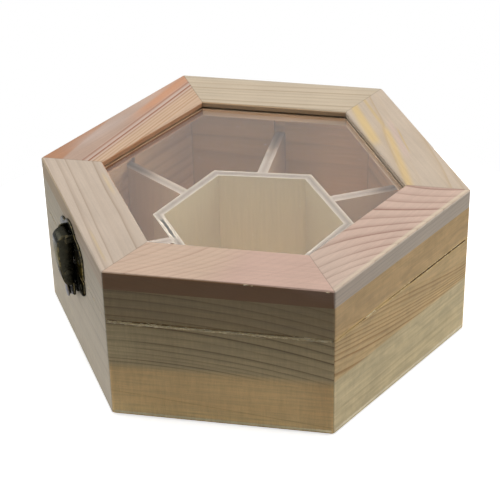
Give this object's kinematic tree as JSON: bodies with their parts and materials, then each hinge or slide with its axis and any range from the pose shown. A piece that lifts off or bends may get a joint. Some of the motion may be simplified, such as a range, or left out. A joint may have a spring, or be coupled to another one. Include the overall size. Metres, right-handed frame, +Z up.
{
  "type": "glass-lid jewelry box",
  "caption": "Hexagonal wooden jewelry box with a hinged glass lid, a plywood insert of compartments round a centre cell, and an antique-bronze latch.",
  "frame": {"origin": "middle of the flat underside, on the surface that the box stands on", "axes": "+Z up through the glass; -Y out through the latch, the front; +Y out through the hinges, the back; +X through a corner, along the seam of the latch face"},
  "size_m": [0.1796, 0.1661, 0.0702],
  "materials": {
    "pine_wall": "pine boards, sawn and sanded, unfinished",
    "pine_rail": "pine frame rails, planed and sanded, unfinished",
    "plywood": "three-ply birch or poplar plywood, sanded",
    "glass": "clear float glass",
    "antique_bronze": "stamped steel, antique-bronze plated"
  },
  "bodies": {
    "base": {"base_wall_1": "pine_wall", "base_wall_2": "pine_wall", "base_wall_3": "pine_wall", "base_wall_4": "pine_wall", "base_wall_5": "pine_wall", "base_wall_6": "pine_wall", "base_floor": "plywood", "cell_wall_1": "plywood", "cell_wall_2": "plywood", "cell_wall_3": "plywood", "cell_wall_4": "plywood", "cell_wall_5": "plywood", "cell_wall_6": "plywood", "divider_1": "plywood", "divider_2": "plywood", "divider_3": "plywood", "divider_4": "plywood", "divider_5": "plywood", "divider_6": "plywood", "latch_catch": "antique_bronze", "hinge_1_base_leaf": "antique_bronze", "hinge_2_base_leaf": "antique_bronze", "hinge_1_pin": "antique_bronze", "hinge_2_pin": "antique_bronze", "hinge_nails_base": "antique_bronze", "latch_nails_base": "antique_bronze"},
    "lid": {"lid_wall_1": "pine_wall", "lid_wall_2": "pine_wall", "lid_wall_3": "pine_wall", "lid_wall_4": "pine_wall", "lid_wall_5": "pine_wall", "lid_wall_6": "pine_wall", "lid_rail_1": "pine_rail", "lid_rail_2": "pine_rail", "lid_rail_3": "pine_rail", "lid_rail_4": "pine_rail", "lid_rail_5": "pine_rail", "lid_rail_6": "pine_rail", "glass_pane": "glass", "latch_plate": "antique_bronze", "hinge_1_lid_leaf": "antique_bronze", "hinge_2_lid_leaf": "antique_bronze", "latch_pin": "antique_bronze", "hinge_nails_lid": "antique_bronze", "latch_nails_lid": "antique_bronze"},
    "latch_tongue": {"latch_tongue": "antique_bronze", "latch_knob": "antique_bronze"}
  },
  "joints": [
    {"name": "lid_hinge", "type": "hinge", "parent": "base", "child": "lid", "pos_m": [0, 0.07964, 0.0467], "axis": [-1, 0, 0], "range_deg": [0, 180]},
    {"name": "latch_hinge", "type": "hinge", "parent": "lid", "child": "latch_tongue", "pos_m": [0, -0.08044, 0.0604], "axis": [-1, 0, 0], "range_deg": [0, 95]}
  ]
}
